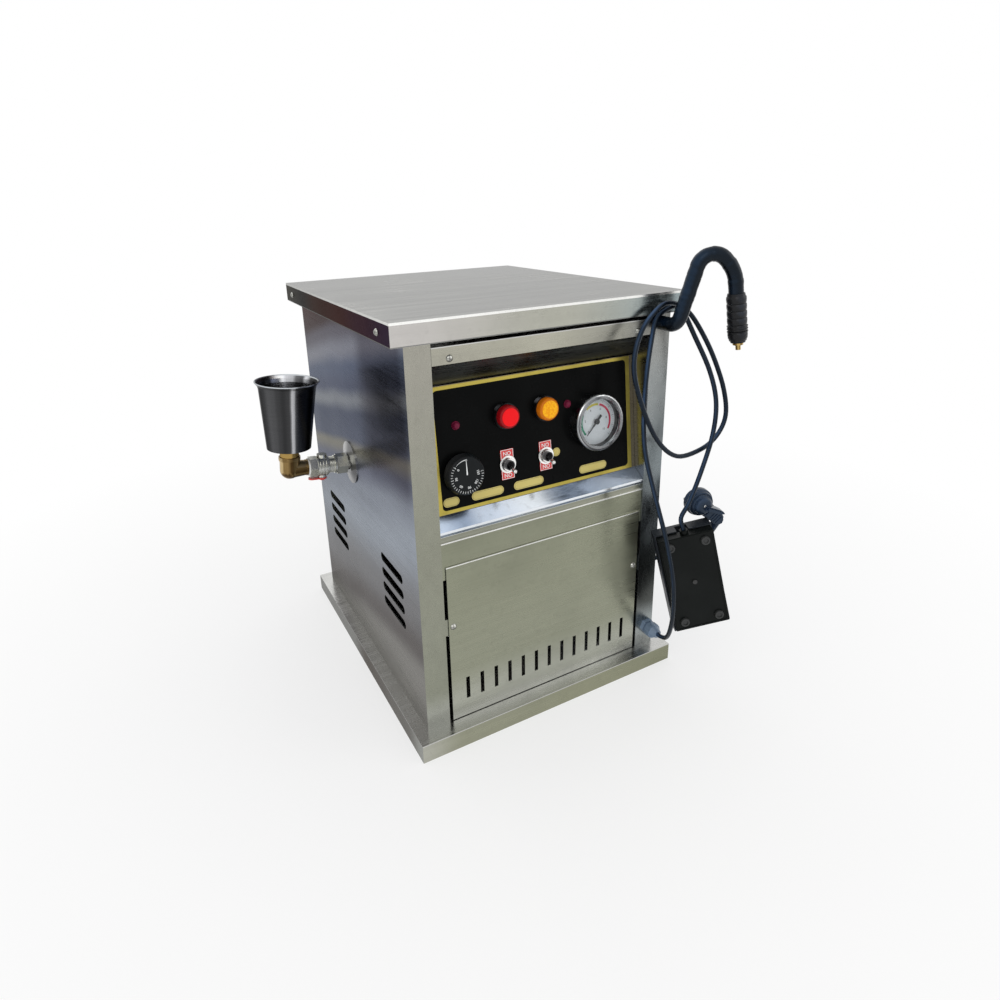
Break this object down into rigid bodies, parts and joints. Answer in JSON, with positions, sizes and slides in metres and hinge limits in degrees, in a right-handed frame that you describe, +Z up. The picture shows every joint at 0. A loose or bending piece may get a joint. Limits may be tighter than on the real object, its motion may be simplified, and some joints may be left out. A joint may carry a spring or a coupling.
{
  "type": "jewelry steam cleaner",
  "caption": "Bench steam cleaner: steel cabinet with sloping control panel, filler cup and valve at the side, fixed gooseneck nozzle and hanging foot pedal.",
  "frame": {"origin": "centre of the underside of the base, on the table", "axes": "+Z up; the controls face -Y, so the filler cup is on the -X side"},
  "size_m": [0.5332, 0.6243, 0.5737],
  "materials": {
    "base_tray": "satin",
    "left_side_panel": "satin",
    "right_side_panel": "satin",
    "rear_panel": "satin",
    "top_lid": "satin",
    "front_header": "satin",
    "control_console": "polished",
    "front_apron": "satin",
    "lower_door": "satin",
    "cabinet_screws": "polished",
    "panel_film": "gloss",
    "gold_border": "satin",
    "label_plates": "satin",
    "lamp_bodies": "satin",
    "red_lamp_lens": "gloss",
    "amber_lamp_lens": "gloss",
    "small_indicators": "gloss",
    "gauge_case": "satin",
    "gauge_bezel": "polished",
    "gauge_dial": "matte",
    "gauge_needle": "satin",
    "gauge_glass": "gloss",
    "thermostat_body": "satin",
    "thermostat_knob": "satin",
    "toggle_bodies": "satin",
    "toggle_plates": "gloss",
    "toggle_nuts": "polished",
    "left_toggle_lever": "polished",
    "right_toggle_lever": "polished",
    "outlet_fitting": "satin",
    "steam_gooseneck": "satin",
    "gooseneck_sleeve": "gloss",
    "nozzle_wrap": "satin",
    "nozzle_tip": "polished",
    "filler_cup": "polished",
    "inlet_elbow": "satin",
    "inlet_seal_ring": "matte",
    "inlet_valve": "polished",
    "inlet_valve_lever": "gloss",
    "wall_flange": "polished",
    "pedal_base": "satin",
    "pedal_treadle": "satin",
    "pedal_pin": "satin",
    "pedal_spring": "satin",
    "pedal_switch": "satin",
    "pedal_feet": "matte",
    "pedal_cord": "satin",
    "cord_gland": "satin",
    "mains_gland": "satin",
    "mains_lead_rear": "satin",
    "mains_lead_coil": "satin",
    "mains_lead_front": "satin",
    "mains_plug": "satin",
    "boiler_shell": "satin",
    "boiler_cradle": "satin",
    "heating_element": "satin",
    "safety_valve": "satin",
    "steam_valve": "satin",
    "boiler_pipes": "satin"
  },
  "bodies": {
    "cabinet": {"base_tray": "base_tray", "left_side_panel": "left_side_panel", "right_side_panel": "right_side_panel", "rear_panel": "rear_panel", "top_lid": "top_lid", "front_header": "front_header", "control_console": "control_console", "front_apron": "front_apron", "lower_door": "lower_door", "cabinet_screws": "cabinet_screws", "panel_film": "panel_film", "gold_border": "gold_border", "label_plates": "label_plates", "lamp_bodies": "lamp_bodies", "red_lamp_lens": "red_lamp_lens", "amber_lamp_lens": "amber_lamp_lens", "small_indicators": "small_indicators", "gauge_case": "gauge_case", "gauge_bezel": "gauge_bezel", "gauge_dial": "gauge_dial", "gauge_glass": "gauge_glass", "thermostat_body": "thermostat_body", "toggle_bodies": "toggle_bodies", "toggle_plates": "toggle_plates", "toggle_nuts": "toggle_nuts", "outlet_fitting": "outlet_fitting", "steam_gooseneck": "steam_gooseneck", "gooseneck_sleeve": "gooseneck_sleeve", "nozzle_wrap": "nozzle_wrap", "nozzle_tip": "nozzle_tip", "filler_cup": "filler_cup", "inlet_elbow": "inlet_elbow", "inlet_seal_ring": "inlet_seal_ring", "inlet_valve": "inlet_valve", "wall_flange": "wall_flange", "pedal_base": "pedal_base", "pedal_pin": "pedal_pin", "pedal_spring": "pedal_spring", "pedal_switch": "pedal_switch", "pedal_feet": "pedal_feet", "pedal_cord": "pedal_cord", "cord_gland": "cord_gland", "mains_gland": "mains_gland", "mains_lead_rear": "mains_lead_rear", "mains_lead_coil": "mains_lead_coil", "mains_lead_front": "mains_lead_front", "mains_plug": "mains_plug", "boiler_shell": "boiler_shell", "boiler_cradle": "boiler_cradle", "heating_element": "heating_element", "safety_valve": "safety_valve", "steam_valve": "steam_valve", "boiler_pipes": "boiler_pipes"},
    "knob": {"thermostat_knob": "thermostat_knob"},
    "needle": {"gauge_needle": "gauge_needle"},
    "left_lever": {"left_toggle_lever": "left_toggle_lever"},
    "right_lever": {"right_toggle_lever": "right_toggle_lever"},
    "valve_lever": {"inlet_valve_lever": "inlet_valve_lever"},
    "treadle": {"pedal_treadle": "pedal_treadle"}
  },
  "joints": [
    {"name": "thermostat_turn", "type": "hinge", "parent": "cabinet", "child": "knob", "pos_m": [-0.1055, -0.18833, 0.33869], "axis": [0, 0.9947, -0.1028], "range_deg": [0, 270]},
    {"name": "gauge_needle_turn", "type": "hinge", "parent": "cabinet", "child": "needle", "pos_m": [0.0795, -0.18445, 0.36644], "axis": [0, 0.9947, -0.1028], "range_deg": [0, 270], "stiffness_Nm_per_rad": 0.002, "springref_deg": -11.46},
    {"name": "left_toggle_throw", "type": "hinge", "parent": "cabinet", "child": "left_lever", "pos_m": [-0.046, -0.17759, 0.33557], "axis": [-1, 0, 0], "range_deg": [0, 28]},
    {"name": "right_toggle_throw", "type": "hinge", "parent": "cabinet", "child": "right_lever", "pos_m": [0.007, -0.17759, 0.33557], "axis": [-1, 0, 0], "range_deg": [0, 28]},
    {"name": "inlet_valve_turn", "type": "hinge", "parent": "cabinet", "child": "valve_lever", "pos_m": [-0.21479, 0.021, 0.28501], "axis": [0.0872, 0, 0.9962], "range_deg": [0, 90]},
    {"name": "pedal_press", "type": "hinge", "parent": "cabinet", "child": "treadle", "pos_m": [0.20323, -0.26104, 0.08811], "axis": [0.8681, -0.4427, 0.2248], "range_deg": [0, 5], "stiffness_Nm_per_rad": 15, "springref_deg": -3.44, "deforming": ["pedal_spring"]}
  ]
}
